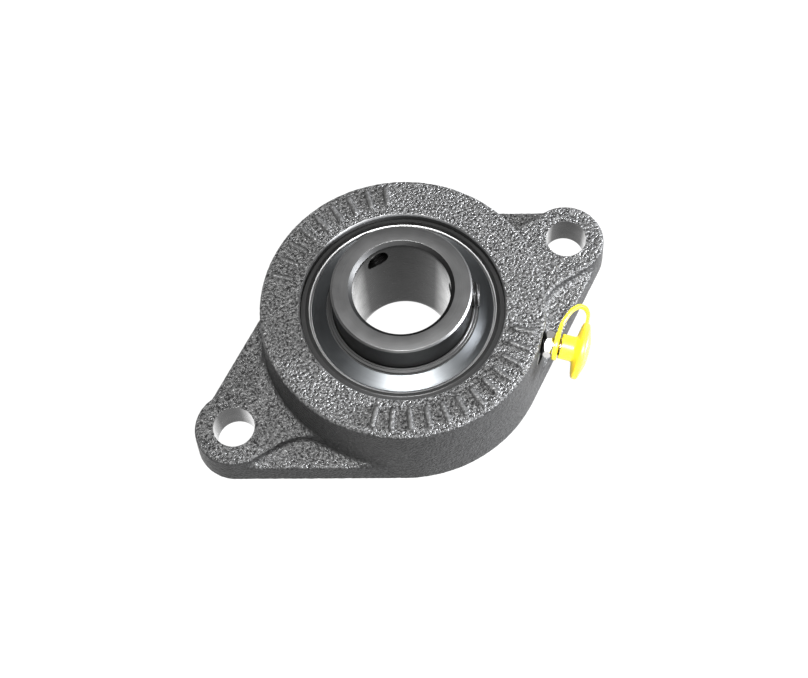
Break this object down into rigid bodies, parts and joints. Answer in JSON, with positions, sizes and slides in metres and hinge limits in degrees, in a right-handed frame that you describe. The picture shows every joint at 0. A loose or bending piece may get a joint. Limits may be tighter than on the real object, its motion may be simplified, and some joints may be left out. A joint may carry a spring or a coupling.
{
  "type": "flange mount bearing",
  "caption": "Rhombus cast-iron flange housing holding a self-aligning ball bearing insert with a wide inner ring, set screws and a capped grease fitting.",
  "frame": {"origin": "where the shaft axis meets the mounting face, at the middle of the footprint", "axes": "+Z along the shaft axis out of the front, +X from bolt to bolt, +Y across the flange"},
  "size_m": [0.1196, 0.0733, 0.0334],
  "materials": {
    "cast_iron": "charcoal grey paint over a rough cast surface",
    "dark_steel": "ground and oiled, dark",
    "ground_steel": "ground",
    "ball_steel": "polished",
    "bright_sheet": "bright, spun",
    "black_steel": "black oxide",
    "felt": "oiled felt",
    "cage_plastic": "moulded",
    "zinc_plate": "zinc plated",
    "yellow_plastic": "soft moulded plastic"
  },
  "bodies": {
    "housing": {"housing": "cast_iron", "grease_fitting": "zinc_plate", "grease_check_spring": "ball_steel", "cap_ring": "yellow_plastic", "cap_strap": "yellow_plastic"},
    "locking_pin": {"locking_pin": "dark_steel"},
    "outer_ring": {"outer_ring": "dark_steel", "front_seal_shroud": "bright_sheet", "back_seal_shroud": "bright_sheet", "front_felt_ring": "felt", "back_felt_ring": "felt"},
    "inner_ring": {"inner_ring": "ground_steel", "front_flinger": "black_steel", "back_flinger": "black_steel"},
    "ball_cage": {"ball_cage": "cage_plastic"},
    "ball_1": {"ball_1": "ball_steel"},
    "ball_2": {"ball_2": "ball_steel"},
    "ball_3": {"ball_3": "ball_steel"},
    "ball_4": {"ball_4": "ball_steel"},
    "ball_5": {"ball_5": "ball_steel"},
    "ball_6": {"ball_6": "ball_steel"},
    "ball_7": {"ball_7": "ball_steel"},
    "ball_8": {"ball_8": "ball_steel"},
    "ball_9": {"ball_9": "ball_steel"},
    "set_screw_1": {"set_screw_1": "black_steel"},
    "set_screw_2": {"set_screw_2": "black_steel"},
    "grease_cap": {"grease_cap": "yellow_plastic"},
    "grease_check_ball": {"grease_check_ball": "ball_steel"}
  },
  "joints": [
    {"name": "align_rock", "type": "hinge", "parent": "housing", "child": "locking_pin", "pos_m": [0, 0, 0.0154], "axis": [-0.7071, -0.7071, 0], "range_deg": [-2, 2]},
    {"name": "align_swivel", "type": "hinge", "parent": "locking_pin", "child": "outer_ring", "pos_m": [0, 0, 0.0154], "axis": [-0.7071, 0.7071, 0], "range_deg": [-2, 2]},
    {"name": "shaft_spin", "type": "hinge", "parent": "outer_ring", "child": "inner_ring", "pos_m": [0, 0, 0.0154], "axis": [0, 0, 1], "continuous": true},
    {"name": "cage_spin", "type": "hinge", "parent": "outer_ring", "child": "ball_cage", "pos_m": [0, 0, 0.0154], "axis": [0, 0, 1], "continuous": true},
    {"name": "ball_spin_1", "type": "hinge", "parent": "ball_cage", "child": "ball_1", "pos_m": [0.0195, 0, 0.0154], "axis": [0, 0, 1], "continuous": true},
    {"name": "ball_spin_2", "type": "hinge", "parent": "ball_cage", "child": "ball_2", "pos_m": [0.01494, 0.01253, 0.0154], "axis": [0, 0, 1], "continuous": true},
    {"name": "ball_spin_3", "type": "hinge", "parent": "ball_cage", "child": "ball_3", "pos_m": [0.00339, 0.0192, 0.0154], "axis": [0, 0, 1], "continuous": true},
    {"name": "ball_spin_4", "type": "hinge", "parent": "ball_cage", "child": "ball_4", "pos_m": [-0.00975, 0.01689, 0.0154], "axis": [0, 0, 1], "continuous": true},
    {"name": "ball_spin_5", "type": "hinge", "parent": "ball_cage", "child": "ball_5", "pos_m": [-0.01832, 0.00667, 0.0154], "axis": [0, 0, 1], "continuous": true},
    {"name": "ball_spin_6", "type": "hinge", "parent": "ball_cage", "child": "ball_6", "pos_m": [-0.01832, -0.00667, 0.0154], "axis": [0, 0, 1], "continuous": true},
    {"name": "ball_spin_7", "type": "hinge", "parent": "ball_cage", "child": "ball_7", "pos_m": [-0.00975, -0.01689, 0.0154], "axis": [0, 0, 1], "continuous": true},
    {"name": "ball_spin_8", "type": "hinge", "parent": "ball_cage", "child": "ball_8", "pos_m": [0.00339, -0.0192, 0.0154], "axis": [0, 0, 1], "continuous": true},
    {"name": "ball_spin_9", "type": "hinge", "parent": "ball_cage", "child": "ball_9", "pos_m": [0.01494, -0.01253, 0.0154], "axis": [0, 0, 1], "continuous": true},
    {"name": "set_screw_1_travel", "type": "slide", "parent": "inner_ring", "child": "set_screw_1", "axis": [-0.0349, -0.9994, 0], "range_m": [-0.00272, 0.00181]},
    {"name": "set_screw_2_travel", "type": "slide", "parent": "inner_ring", "child": "set_screw_2", "axis": [-0.866, 0.5, 0], "range_m": [-0.00272, 0.00181]},
    {"name": "grease_cap_pull", "type": "slide", "parent": "housing", "child": "grease_cap", "axis": [0.7071, -0.7071, 0], "range_m": [0, 0.007], "deforming": ["cap_strap"]},
    {"name": "check_ball_lift", "type": "slide", "parent": "housing", "child": "grease_check_ball", "axis": [-0.7071, 0.7071, 0], "range_m": [0, 0.001], "stiffness_N_per_m": 2, "springref_m": -0.002, "deforming": ["grease_check_spring"]}
  ],
  "couplings": [
    {"joint": "cage_spin", "follows": "shaft_spin", "ratio": 0.39823},
    {"joint": "ball_spin_1", "follows": "shaft_spin", "ratio": -2.3548},
    {"joint": "ball_spin_2", "follows": "shaft_spin", "ratio": -2.3548},
    {"joint": "ball_spin_3", "follows": "shaft_spin", "ratio": -2.3548},
    {"joint": "ball_spin_4", "follows": "shaft_spin", "ratio": -2.3548},
    {"joint": "ball_spin_5", "follows": "shaft_spin", "ratio": -2.3548},
    {"joint": "ball_spin_6", "follows": "shaft_spin", "ratio": -2.3548},
    {"joint": "ball_spin_7", "follows": "shaft_spin", "ratio": -2.3548},
    {"joint": "ball_spin_8", "follows": "shaft_spin", "ratio": -2.3548},
    {"joint": "ball_spin_9", "follows": "shaft_spin", "ratio": -2.3548}
  ]
}
